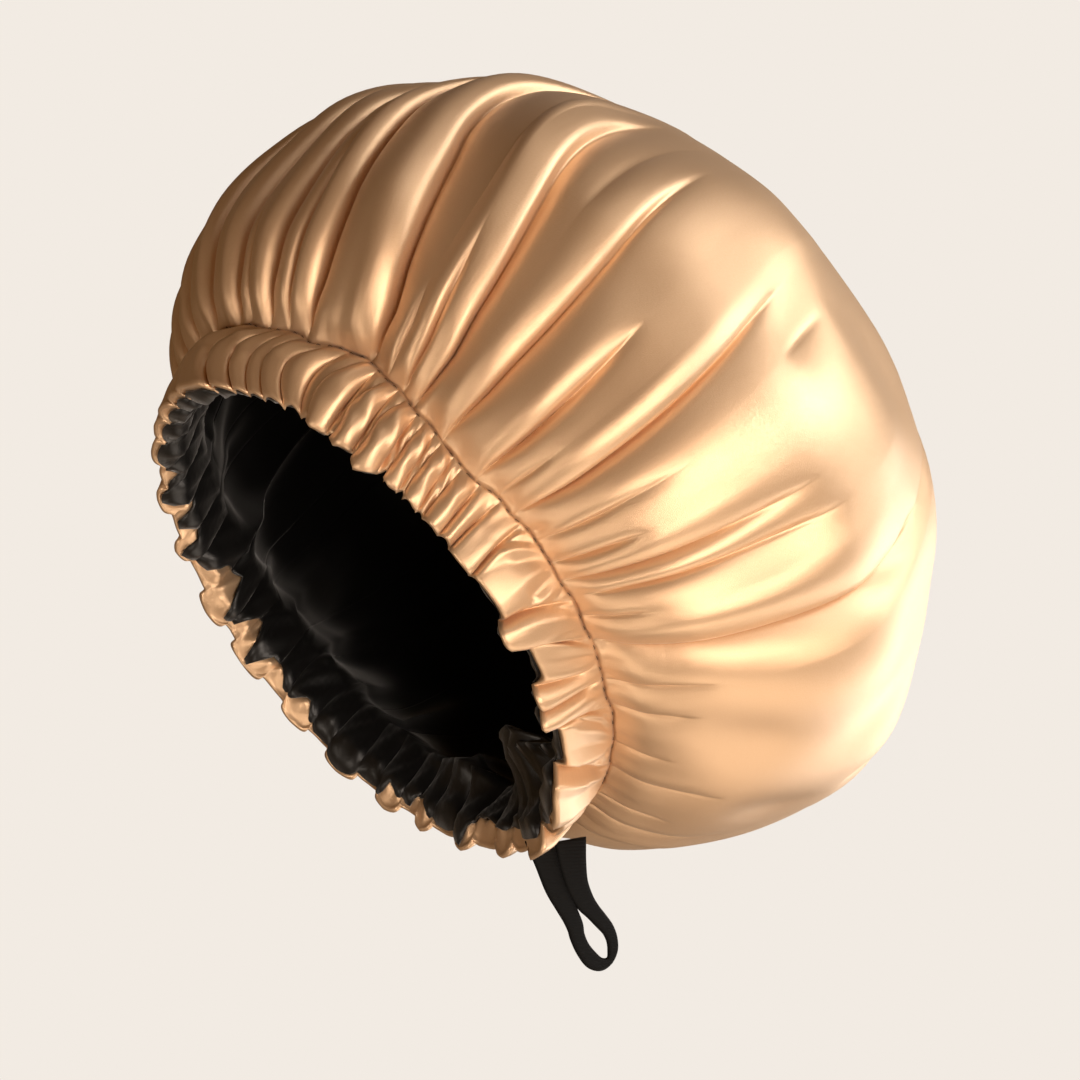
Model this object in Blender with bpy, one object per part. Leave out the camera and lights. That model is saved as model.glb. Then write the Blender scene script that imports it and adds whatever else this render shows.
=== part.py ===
# Satin sleep bonnet: puffed crown, gathered elastic casing, dark lining and a folded strap with a loop.
# Metres, +Z up. The wearer faces -Y, +X is the side that the strap hangs on.
# The origin is the centre of the head opening at the hem.

import bpy
import bmesh
import numpy as np

# Driving dimensions
HEM_DIAMETER = 0.190          # head opening at the hem
STITCH_DIAMETER = 0.203       # gathering stitch between casing and crown
CROWN_DIAMETER = 0.2945       # widest part of the puffed crown
DEPTH = 0.2075                # hem plane to the top of the crown
CASING_WIDTH = 0.023          # gathered casing, hem to stitch
OPENING_TILT = 35.0           # degrees that the hem plane leans forward from level
NAPE_DRIFT = 0.008            # how far the crown hangs toward the nape
CASING_SLANT = 0.0046         # how far the stitch ring sits forward of the hem ring
WALL = 0.0012                 # thickness of the satin
GAP = 0.0003                  # clearance between touching pieces

CREASE_DEPTH = 0.0095         # typical depth of a crown crease
CREASE_WIDTH = 0.0125         # typical half width of a crown crease
PAD_HEIGHT = 0.0042           # how far a casing pad bulges over the elastic
TUCK_SPREAD = 2.3             # degrees from a tuck's middle to the flank of its pads
SCALLOP = 0.0025              # how far a pad hangs below the gathers beside it

LINING_EASE = 0.0030          # slack between crown and lining
LINING_STEP = 0.0012          # how far the lining's edge stays above the hem

ELASTIC_WIDTH = 0.012
ELASTIC_THICKNESS = 0.0011

STRAP_THICKNESS = 0.0022      # two layers of elastic tape
STRAP_LENGTH = 0.0465         # top edge to the end of the loop, measured straight down
STRAP_TOP_WIDTH = 0.0250
STRAP_SWING = 0.0173          # how far the loop hangs back from the top edge
STRAP_ANGLE = 162.0           # place on the hem, degrees from the forehead toward +X
EYE_LENGTH = 0.0135
EYE_WIDTH = 0.0076
EYE_TURN = 56.0               # degrees from level of the eye's long axis

# Crown outline, from the stitch to the top
# share of the depth above the stitch, share of the crown's radius
CROWN_OUTLINE = [
    (0.000, 0.693),
    (0.016, 0.767),
    (0.049, 0.827),
    (0.099, 0.888),
    (0.176, 0.941),
    (0.253, 0.975),
    (0.341, 0.996),
    (0.434, 1.000),
    (0.539, 0.965),
    (0.638, 0.901),
    (0.737, 0.801),
    (0.825, 0.679),
    (0.901, 0.532),
    (0.957, 0.362),
    (0.990, 0.182),
    (1.000, 0.000),
]

# Crown creases that run up from the stitch
# angle from the forehead toward +X, drift in degrees over its run,
# reach as a share of the way to the top, depth and half width as shares of the typical crease
CREASES = [
    (-33, 5, 0.24, 0.70, 0.70),
    (-24, 4, 0.26, 0.75, 0.70),
    (-14, -2, 0.28, 0.80, 0.70),
    (-2, -8, 0.32, 0.85, 0.80),
    (7, -8, 0.36, 0.90, 0.75),
    (20, -16, 0.44, 1.15, 0.95),
    (36, -17, 0.52, 1.25, 1.00),
    (48, -13, 0.56, 1.40, 0.80),
    (59, -9, 0.50, 0.95, 0.85),
    (67, -5, 0.22, 0.70, 0.60),
    (77, -5, 0.44, 1.10, 0.90),
    (88, 8, 0.40, 1.10, 0.85),
    (97, 6, 0.22, 0.60, 0.60),
    (108, 7, 0.55, 1.50, 1.10),
    (118, 3, 0.18, 0.65, 0.70),
    (130, 4, 0.14, 0.60, 0.70),
    (145, -3, 0.32, 0.70, 1.10),
    (158, 3, 0.22, 0.80, 0.80),
    (172, -5, 0.40, 1.00, 0.90),
    (185, 3, 0.26, 0.70, 0.80),
    (198, 8, 0.46, 1.10, 0.90),
    (211, -3, 0.22, 0.70, 0.70),
    (224, 5, 0.42, 1.00, 0.90),
    (236, 0, 0.20, 0.65, 0.70),
    (249, -7, 0.48, 1.20, 0.95),
    (262, 3, 0.24, 0.70, 0.75),
    (275, 7, 0.44, 1.10, 0.90),
    (289, -3, 0.22, 0.70, 0.70),
    (303, 6, 0.40, 1.00, 0.85),
    (316, 3, 0.26, 0.75, 0.75),
]

# Gathers of the casing: angle of each tuck between two pads and its share of the pad height
TUCKS = [
    (-30, 0.9), (-23, 0.7), (-16, 0.9), (-8, 0.8), (0, 1.0), (8, 0.8), (15, 0.9), (23, 1.0),
    (30, 0.8), (36, 1.0), (42, 0.9), (47, 1.0), (52, 0.8), (57, 1.0), (63, 0.9), (69, 1.0),
    (76, 0.9), (84, 1.0), (92, 0.7), (99, 1.0), (107, 1.0), (115, 0.8), (124, 1.0), (133, 0.8),
    (142, 1.0), (151, 0.9), (159, 1.0), (168, 0.8), (177, 1.0), (185, 0.9), (194, 1.0), (202, 0.8),
    (210, 1.0), (219, 0.9), (227, 1.0), (236, 0.8), (244, 1.0), (253, 0.9), (261, 1.0), (270, 0.8),
    (279, 1.0), (287, 0.9), (296, 1.0), (305, 0.8), (313, 1.0), (322, 0.9),
]

# Strap outline: share of its length, then its two edges as shares of its top width,
# measured from the line down its middle
STRAP_OUTLINE = [
    (0.000, -0.490, 0.505),
    (0.145, -0.465, 0.405),
    (0.350, -0.425, 0.265),
    (0.455, -0.355, 0.280),
    (0.575, -0.270, 0.345),
    (0.650, -0.265, 0.460),
    (0.740, -0.265, 0.485),
    (0.825, -0.270, 0.455),
    (0.910, -0.225, 0.360),
    (0.970, -0.150, 0.200),
    (1.000, -0.020, 0.090),
]
EYE_PLACE = (0.785, 0.150)    # share of the length, share of the top width

TILT = np.radians(OPENING_TILT)
FORWARD = np.array([0.0, -np.sin(TILT), np.cos(TILT)])   # opening centre to forehead
SIDE = np.array([1.0, 0.0, 0.0])
CROWNWARD = np.array([0.0, np.cos(TILT), np.sin(TILT)])  # opening centre to the crown's top

ELASTIC_LOW = (CASING_WIDTH - ELASTIC_WIDTH) / 2
ELASTIC_HIGH = (CASING_WIDTH + ELASTIC_WIDTH) / 2

CROWN_FACETS_UP = (0.0, 0.018, 0.05, 0.10, 0.17, 0.26, 0.36, 0.48, 0.62, 0.77, 0.90)
LINING_FACETS_UP = (0.018, 0.05, 0.10, 0.19, 0.30, 0.44, 0.62, 0.80)


def smooth_step(value):
    value = np.clip(value, 0.0, 1.0)
    return value * value * (3.0 - 2.0 * value)


def hermite(knots, values, at):
    """Smooth curve through the values at the knots."""
    at = np.clip(at, knots[0], knots[-1])
    slopes = np.gradient(values, knots)
    i = np.clip(np.searchsorted(knots, at, side="right") - 1, 0, len(knots) - 2)
    span = knots[i + 1] - knots[i]
    t = (at - knots[i]) / span
    return (
        values[i] * (1 + 2 * t) * (1 - t) ** 2
        + slopes[i] * span * t * (1 - t) ** 2
        + values[i + 1] * t * t * (3 - 2 * t)
        + slopes[i + 1] * span * t * t * (t - 1)
    )


def crown_outline():
    """Depth and radius of the outline, with the way along it from the stitch."""
    table = np.array(CROWN_OUTLINE)
    height = CASING_WIDTH + table[:, 0] * (DEPTH - CASING_WIDTH)
    radius = table[:, 1] * CROWN_DIAMETER / 2
    radius[0] = STITCH_DIAMETER / 2
    way = np.r_[0.0, np.cumsum(np.hypot(np.diff(height), np.diff(radius)))]
    return way, height, radius


WAY, HEIGHT, RADIUS = crown_outline()


def drift_of_centre(height):
    """How far a section's centre lies forward of the hem's centre."""
    in_casing = CASING_SLANT * np.clip(height / CASING_WIDTH, 0, 1)
    share = np.clip((height - CASING_WIDTH) / (0.4 * DEPTH), 0, 1)
    return in_casing - NAPE_DRIFT * np.sin(share * np.pi / 2)


def at_ring(angle, radius, height):
    """Point at an angle (degrees), a radius and a height above the hem plane."""
    a = np.radians(angle)
    forward = drift_of_centre(height) + radius * np.cos(a)
    side = radius * np.sin(a)
    height = np.broadcast_to(height, np.shape(forward))
    return (
        np.multiply.outer(forward, FORWARD)
        + np.multiply.outer(side, SIDE)
        + np.multiply.outer(height, CROWNWARD)
    )


def crease_height(angle, share):
    """How far the crown lies below its outline at an angle and a share of the way up."""
    radius = hermite(WAY, RADIUS, share * WAY[-1])
    total = 0.0
    for place, _, reach, depth, width in CREASES:
        off = (angle - place + 180.0) % 360.0 - 180.0
        distance = np.abs(np.radians(off)) * radius
        spread = width * CREASE_WIDTH * (0.55 + 1.1 * np.minimum(share / 0.4, 1.0))
        rise = min(share / 0.09, 1.0) ** 0.6
        fall = np.clip(1.0 - (share / reach) ** 2, 0.0, 1.0) ** 1.3
        total = total - depth * CREASE_DEPTH * rise * fall * np.exp(-(distance / spread) ** 1.25)
    return total


def crease_drift(angle, share):
    """Turn of the creases, in degrees, between the stitch and the upper crown."""
    places = np.array([row[0] for row in CREASES], float)
    drifts = np.array([row[1] for row in CREASES], float)
    return np.interp(angle, places, drifts, period=360.0) * smooth_step(share / 0.55)


def crown_ring(angles, share, inward):
    """One ring of the creased crown, moved in from the outline by a thickness."""
    way = share * WAY[-1]
    step = 0.0005
    height = hermite(WAY, HEIGHT, way)
    radius = hermite(WAY, RADIUS, way)
    dh = hermite(WAY, HEIGHT, way + step) - hermite(WAY, HEIGHT, max(way - step, 0.0))
    dr = hermite(WAY, RADIUS, way + step) - hermite(WAY, RADIUS, max(way - step, 0.0))
    length = np.hypot(dh, dr)
    out = crease_height(angles, share) - inward
    turned = angles + crease_drift(angles, share)
    return at_ring(turned, radius + out * dh / length, height - out * dr / length)


def crease_columns(per_pad):
    """Angles of the mesh's columns: on each crease and between two creases."""
    places = [row[0] for row in CREASES]
    columns = []
    for here, after in zip(places, places[1:] + [places[0] + 360]):
        columns += [here + (after - here) * k for k in per_pad]
    return np.array(columns)


def loops_to_object(name, rings, closing, material):
    """Closed skin through rings of points; closing is 'loop' or 'poles'."""
    bm = bmesh.new()
    rows = [[bm.verts.new(p) for p in ring] for ring in rings]
    count = len(rows)
    for i in range(count if closing == "loop" else count - 1):
        here = rows[i]
        after = rows[(i + 1) % count]
        n = max(len(here), len(after))
        for j in range(n):
            k = (j + 1) % n
            if len(here) == 1:
                corners = (here[0], after[j], after[k])
            elif len(after) == 1:
                corners = (here[j], after[0], here[k])
            else:
                corners = (here[j], after[j], after[k], here[k])
            bm.faces.new(corners)
    bmesh.ops.triangulate(bm, faces=bm.faces)
    bmesh.ops.recalc_face_normals(bm, faces=bm.faces)
    mesh = bpy.data.meshes.new(name)
    bm.to_mesh(mesh)
    bm.free()
    mesh.shade_smooth()
    obj = bpy.data.objects.new(name, mesh)
    bpy.context.scene.collection.objects.link(obj)
    mesh.materials.append(material)
    return obj


def cloth(name, colour, roughness, metallic):
    material = bpy.data.materials.new(name)
    material.use_nodes = True
    shader = material.node_tree.nodes["Principled BSDF"]
    shader.inputs["Base Color"].default_value = (*colour, 1.0)
    shader.inputs["Roughness"].default_value = roughness
    shader.inputs["Metallic"].default_value = metallic
    return material


def make_crown(material):
    """Puffed crown from the gathering stitch to the top, one wall of satin."""
    angles = crease_columns((0.0, 0.24, 0.5, 0.76))
    outer = [crown_ring(angles, share, 0.0) for share in CROWN_FACETS_UP]
    inner = [crown_ring(angles, share, WALL) for share in CROWN_FACETS_UP]
    top = at_ring(0.0, 0.0, DEPTH)
    under = at_ring(0.0, 0.0, DEPTH - WALL)
    return loops_to_object("crown", [[top]] + outer[::-1] + inner + [[under]], "poles", material)


def neck_radius(height):
    """Radius of the gathered casing in its tucks, at a height above the hem plane."""
    share = height / CASING_WIDTH
    return (HEM_DIAMETER + (STITCH_DIAMETER - HEM_DIAMETER) * share) / 2


def casing_section(angles, along, inward):
    """One ring of the casing at a share of its width, from hem to stitch."""
    places = np.array([row[0] for row in TUCKS], float)
    depths = np.array([row[1] for row in TUCKS], float)
    off = (angles[:, None] - places[None, :] + 180.0) % 360.0 - 180.0
    near = np.exp(-(np.abs(off) / TUCK_SPREAD) ** 1.5) * depths
    puff = 1.0 - near.max(axis=1)
    swell = np.sin(np.pi * np.clip(along, 0.0, 1.0)) ** 0.7
    radius = neck_radius(CASING_WIDTH * along)
    flare = 0.12 * (1.0 - along) ** 2
    radius = radius + PAD_HEIGHT * puff * (swell + flare) - inward
    height = CASING_WIDTH * along - SCALLOP * puff * (1.0 - along) ** 1.5
    return at_ring(angles, radius, height)


def casing_facets(inward):
    """Rings of the casing's skin, hem to stitch, with a column in and beside each tuck."""
    places = [row[0] for row in TUCKS]
    angles = []
    for here, after in zip(places, places[1:] + [places[0] + 360]):
        angles += [here, here + 0.30 * (after - here), here + 0.70 * (after - here)]
    top = 1.0 - GAP / CASING_WIDTH
    return [casing_section(np.array(angles), share, inward) for share in (0.0, 0.30, 0.70, top)]


def make_casing(material):
    """Gathered casing round the elastic, from the hem up to the stitch."""
    outer = casing_facets(0.0)
    inner = casing_facets(WALL)
    return loops_to_object("casing_ruffle", outer + inner[::-1], "loop", material)


def make_lining(material):
    """Dark lining: follows the crown inside and comes down inside the casing to the hem."""
    angles = crease_columns((0.0, 0.5))

    def rings(inward):
        beside_casing = WALL + GAP + inward
        beside_elastic = beside_casing + ELASTIC_THICKNESS + 2 * GAP
        turn = CASING_WIDTH + WALL + LINING_EASE + inward
        low = [
            at_ring(angles, neck_radius(LINING_STEP) - beside_casing, LINING_STEP),
            at_ring(angles, neck_radius(ELASTIC_LOW) - beside_elastic, ELASTIC_LOW),
            at_ring(angles, neck_radius(ELASTIC_HIGH) - beside_elastic, ELASTIC_HIGH),
            at_ring(angles, neck_radius(CASING_WIDTH) - beside_casing - GAP, turn),
        ]
        depth = WALL + LINING_EASE + inward
        high = [crown_ring(angles, share, depth) for share in LINING_FACETS_UP]
        return low + high

    outer = rings(0.0)
    inner = rings(WALL)
    top = at_ring(0.0, 0.0, DEPTH - WALL - LINING_EASE)
    under = at_ring(0.0, 0.0, DEPTH - 2 * WALL - LINING_EASE)
    return loops_to_object("lining", [[top]] + outer[::-1] + inner + [[under]], "poles", material)


def make_elastic(material):
    """Flat elastic that runs round inside the casing."""
    angles = np.arange(0.0, 360.0, 6.0)
    outside = WALL + GAP
    inside = outside + ELASTIC_THICKNESS
    corners = (
        (inside, ELASTIC_LOW),
        (inside, ELASTIC_HIGH),
        (outside, ELASTIC_HIGH),
        (outside, ELASTIC_LOW),
    )
    rings = [at_ring(angles, neck_radius(height) - inward, height) for inward, height in corners]
    return loops_to_object("elastic_band", rings, "loop", material)


def strap_point(down, across):
    """Point of the strap's plane, from shares of its length and top width."""
    top = at_ring(STRAP_ANGLE, HEM_DIAMETER / 2, 0.0)
    y = top[1] + 0.47 * STRAP_TOP_WIDTH + down * STRAP_SWING + across * STRAP_TOP_WIDTH
    z = top[2] - down * STRAP_LENGTH
    return np.array([top[0], y, z])


def strap_seat(point):
    """The point, lowered or raised to just under the casing that the strap is sewn to."""
    rings = np.array(casing_facets(0.0))
    part = np.linspace(0.0, 1.0, 9)[:, None, None]
    rows = np.concatenate([a + part * (b - a) for a, b in zip(rings, rings[1:])])
    after = np.roll(rows, -1, axis=1)
    skin = np.concatenate([rows + share * (after - rows) for share in part]).reshape(-1, 3)
    beside = np.abs(skin[:, 0] - point[0]) < STRAP_THICKNESS / 2 + GAP
    over = np.abs(skin[:, 1] - point[1]) < 0.05 * STRAP_TOP_WIDTH
    found = skin[beside & over, 2]
    seat = found.min() - GAP if len(found) else point[2]
    return np.array([point[0], point[1], seat])


def make_strap(material):
    """Two layers of elastic tape, folded to a loop with an eye at its end."""
    table = np.array(STRAP_OUTLINE)
    downs = np.unique(np.r_[0.0, np.linspace(0.10, 0.9, 9), 0.95, 0.985, 1.0])
    left = [strap_point(d, np.interp(d, table[:, 0], table[:, 1])) for d in downs]
    right = [strap_point(d, np.interp(d, table[:, 0], table[:, 2])) for d in downs]
    across = np.linspace(table[0, 1], table[0, 2], 7)
    top = [strap_seat(strap_point(0.0, share)) for share in across]
    outline = left[1:] + right[:0:-1] + top[::-1]
    centre = strap_point(*EYE_PLACE)
    turn = np.radians(-EYE_TURN)
    eye = []
    for step in range(16):
        a = 2 * np.pi * step / 16
        along = EYE_LENGTH / 2 * np.cos(a)
        across = EYE_WIDTH / 2 * np.sin(a)
        y = along * np.cos(turn) - across * np.sin(turn)
        z = along * np.sin(turn) + across * np.cos(turn)
        eye.append(centre + np.array([0.0, y, z]))
    bm = bmesh.new()
    edges = []
    for loop in (outline, eye):
        verts = [bm.verts.new(p - np.array([STRAP_THICKNESS / 2, 0.0, 0.0])) for p in loop]
        edges += [bm.edges.new((verts[i - 1], verts[i])) for i in range(len(verts))]
    bmesh.ops.triangle_fill(bm, use_beauty=True, use_dissolve=False, edges=edges)
    side = bmesh.ops.extrude_face_region(bm, geom=list(bm.faces))
    moved = [item for item in side["geom"] if isinstance(item, bmesh.types.BMVert)]
    bmesh.ops.translate(bm, verts=moved, vec=(STRAP_THICKNESS, 0.0, 0.0))
    bmesh.ops.recalc_face_normals(bm, faces=bm.faces)
    mesh = bpy.data.meshes.new("strap_loop")
    bm.to_mesh(mesh)
    bm.free()
    obj = bpy.data.objects.new("strap_loop", mesh)
    bpy.context.scene.collection.objects.link(obj)
    mesh.materials.append(material)
    return obj


for old in list(bpy.data.objects):
    bpy.data.objects.remove(old, do_unlink=True)

gold_satin = cloth("gold_satin", (0.62, 0.38, 0.20), 0.38, 0.25)
black_satin = cloth("black_satin", (0.012, 0.011, 0.011), 0.42, 0.0)
black_elastic = cloth("black_elastic", (0.010, 0.010, 0.010), 0.75, 0.0)

make_crown(gold_satin)
make_casing(gold_satin)
make_lining(black_satin)
make_elastic(black_elastic)
make_strap(black_elastic)
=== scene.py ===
import bpy
import numpy as np
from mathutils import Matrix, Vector


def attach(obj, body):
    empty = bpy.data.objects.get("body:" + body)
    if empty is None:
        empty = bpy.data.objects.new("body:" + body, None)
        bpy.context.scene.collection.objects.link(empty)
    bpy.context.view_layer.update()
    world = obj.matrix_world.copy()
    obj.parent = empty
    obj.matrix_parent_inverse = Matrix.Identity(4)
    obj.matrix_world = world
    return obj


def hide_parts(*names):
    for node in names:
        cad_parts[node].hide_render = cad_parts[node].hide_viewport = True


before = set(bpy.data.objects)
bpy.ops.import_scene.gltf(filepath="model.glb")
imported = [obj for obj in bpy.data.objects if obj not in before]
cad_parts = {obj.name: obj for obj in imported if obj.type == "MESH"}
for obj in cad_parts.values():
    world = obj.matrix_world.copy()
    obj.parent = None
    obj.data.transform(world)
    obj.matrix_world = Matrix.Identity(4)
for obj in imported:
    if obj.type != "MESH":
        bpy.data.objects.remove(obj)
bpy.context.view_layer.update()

# Camera, lights and backdrop
# The bonnet is held up as a head holds it and is seen level, from its front near side.
# A seamless pale sweep stands all round it, lit apart from the satin.

VIEW_TURN = np.radians(57.7)        # camera's place round the bonnet, from its front
VIEW_DISTANCE = 1.8
VIEW_WIDTH = 0.3672                 # width of the view at the bonnet
VIEW_AIM = (0.0628, 0.0274)         # from the hem's centre: to the camera's right, and up
SENSOR = 36.0

view_right = np.array([np.cos(VIEW_TURN), np.sin(VIEW_TURN), 0.0])
view_back = np.array([np.sin(VIEW_TURN), -np.cos(VIEW_TURN), 0.0])
view_up = np.array([0.0, 0.0, 1.0])
aim = view_right * VIEW_AIM[0] + view_up * VIEW_AIM[1]


def point_at(obj, place, target):
    """Put an object at a place, with its -Z axis toward the target."""
    way = Vector(target) - Vector(place)
    obj.location = place
    obj.rotation_euler = way.to_track_quat("-Z", "Y").to_euler()


lens = bpy.data.cameras.new("camera")
lens.sensor_width = SENSOR
lens.lens = SENSOR * VIEW_DISTANCE / VIEW_WIDTH
camera = bpy.data.objects.new("camera", lens)
bpy.context.scene.collection.objects.link(camera)
point_at(camera, aim + view_back * VIEW_DISTANCE, aim)
bpy.context.scene.camera = camera

# name, place (right, toward the camera, up), width, height, power, colour
SOFTBOXES = [
    ("key_softbox", (1.53, 0.08, 0.71), 1.4, 1.2, 25.0, (1.0, 0.99, 0.97)),
    ("top_softbox", (0.65, 0.56, 1.55), 0.7, 0.7, 2.0, (1.0, 0.98, 0.95)),
    ("rim_softbox", (1.25, -1.05, -0.55), 1.4, 1.4, 19.0, (1.0, 0.98, 0.95)),
    ("front_softbox", (0.75, 1.60, -0.25), 1.0, 1.0, 27.0, (1.0, 0.87, 0.76)),
    ("floor_bounce", (0.45, 0.20, -1.40), 1.2, 1.2, 9.0, (1.0, 0.88, 0.76)),
    ("left_strip", (-1.10, 0.95, -0.65), 0.30, 1.0, 7.0, (1.0, 0.88, 0.76)),
]
for name, place, width, height, power, colour in SOFTBOXES:
    light = bpy.data.lights.new(name, "AREA")
    light.shape = "RECTANGLE"
    light.size = width
    light.size_y = height
    light.energy = power
    light.color = colour
    lamp = bpy.data.objects.new(name, light)
    bpy.context.scene.collection.objects.link(lamp)
    spot = view_right * place[0] + view_back * place[1] + view_up * place[2]
    point_at(lamp, spot + aim, aim)

FILL_COLOUR = (0.096, 0.048, 0.012, 1.0)    # warm light that the room gives back from all round

world = bpy.data.worlds.new("studio")
world.use_nodes = True
world.node_tree.nodes["Background"].inputs["Color"].default_value = FILL_COLOUR
world.node_tree.nodes["Background"].inputs["Strength"].default_value = 1.0
bpy.context.scene.world = world
bpy.context.scene.view_settings.view_transform = "Standard"

SWEEP_FLOOR = -2.6                  # the floor, below the hem's centre
SWEEP_RADIUS = 3.4
SWEEP_CURVE = 1.2                   # radius of the bend from floor to wall
SWEEP_TOP = 3.6
SWEEP_COLOUR = (0.888, 0.831, 0.768, 1.0)
BEND_STEP = 7.5                     # degrees between the rings of the bend
ROUND_STEP = 5                      # degrees between the points of a ring

bends = np.radians(np.arange(0.0, 91.0, BEND_STEP))
profile = [(SWEEP_RADIUS - SWEEP_CURVE + SWEEP_CURVE * np.sin(b),
            SWEEP_FLOOR + SWEEP_CURVE * (1 - np.cos(b))) for b in bends]
profile.append((SWEEP_RADIUS, SWEEP_TOP))
bearings = np.radians(np.arange(0, 360, ROUND_STEP))
verts = [(r * np.cos(b), r * np.sin(b), z) for r, z in profile for b in bearings]
count = len(bearings)
faces = [(i * count + (j + 1) % count, i * count + j, (i + 1) * count + j, (i + 1) * count + (j + 1) % count)
         for i in range(len(profile) - 1) for j in range(count)]
faces.append(tuple(range(count)))
faces.append(tuple(range(len(verts) - 1, len(verts) - 1 - count, -1)))


def new_piece(name, verts, faces):
    """A smooth shaded object, in the scene, from its points and faces."""
    mesh = bpy.data.meshes.new(name)
    mesh.from_pydata(verts, [], faces)
    mesh.shade_smooth()
    piece = bpy.data.objects.new(name, mesh)
    bpy.context.scene.collection.objects.link(piece)
    return piece


sweep = new_piece("studio_sweep", verts, faces)
paper = bpy.data.materials.new("pale_paper")
paper.use_nodes = True
paper_shader = paper.node_tree.nodes["Principled BSDF"]
paper_shader.inputs["Base Color"].default_value = (0.0, 0.0, 0.0, 1.0)
paper_shader.inputs["Specular IOR Level"].default_value = 0.0
paper_shader.inputs["Emission Color"].default_value = SWEEP_COLOUR
paper_shader.inputs["Emission Strength"].default_value = 1.0
sweep.data.materials.append(paper)
sweep.visible_glossy = False
sweep.visible_diffuse = False
sweep.visible_shadow = False

# Crown
# A disc of champagne gold satin about 58 cm across, gathered on its edge to the casing.
# It is puffed by the hair inside, and its creases run up from the gathers and fade out.

HEM_DIAMETER = 0.190                # head opening
STITCH_DIAMETER = 0.203             # gathering stitch between casing and crown
CROWN_DIAMETER = 0.2945             # widest part of the crown
DEPTH = 0.2075                      # hem plane to the top of the crown
CASING_WIDTH = 0.023                # hem to stitch
OPENING_TILT = np.radians(35.0)     # of the hem plane from level
NAPE_DRIFT = 0.008                  # how far the crown hangs toward the nape
DRIFT_END = 0.4                     # share of the depth at which it hangs back fully
CASING_SLANT = 0.0046               # how far the stitch ring sits forward of the hem ring
SATIN = 0.0006                      # thickness of one layer of satin
DISC_DIAMETER = 0.58                # the disc that the crown is cut from

FORWARD = np.array([0.0, -np.sin(OPENING_TILT), np.cos(OPENING_TILT)])
SIDE = np.array([1.0, 0.0, 0.0])
CROWNWARD = np.array([0.0, np.cos(OPENING_TILT), np.sin(OPENING_TILT)])

# share of the depth above the stitch, share of the crown's radius
CROWN_OUTLINE = [
    (0.000, 0.693), (0.016, 0.767), (0.049, 0.827), (0.099, 0.888),
    (0.176, 0.941), (0.253, 0.975), (0.341, 0.996), (0.434, 1.000),
    (0.539, 0.965), (0.638, 0.901), (0.737, 0.801), (0.825, 0.679),
    (0.901, 0.532), (0.957, 0.362), (0.990, 0.182), (1.000, 0.000),
]

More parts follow.
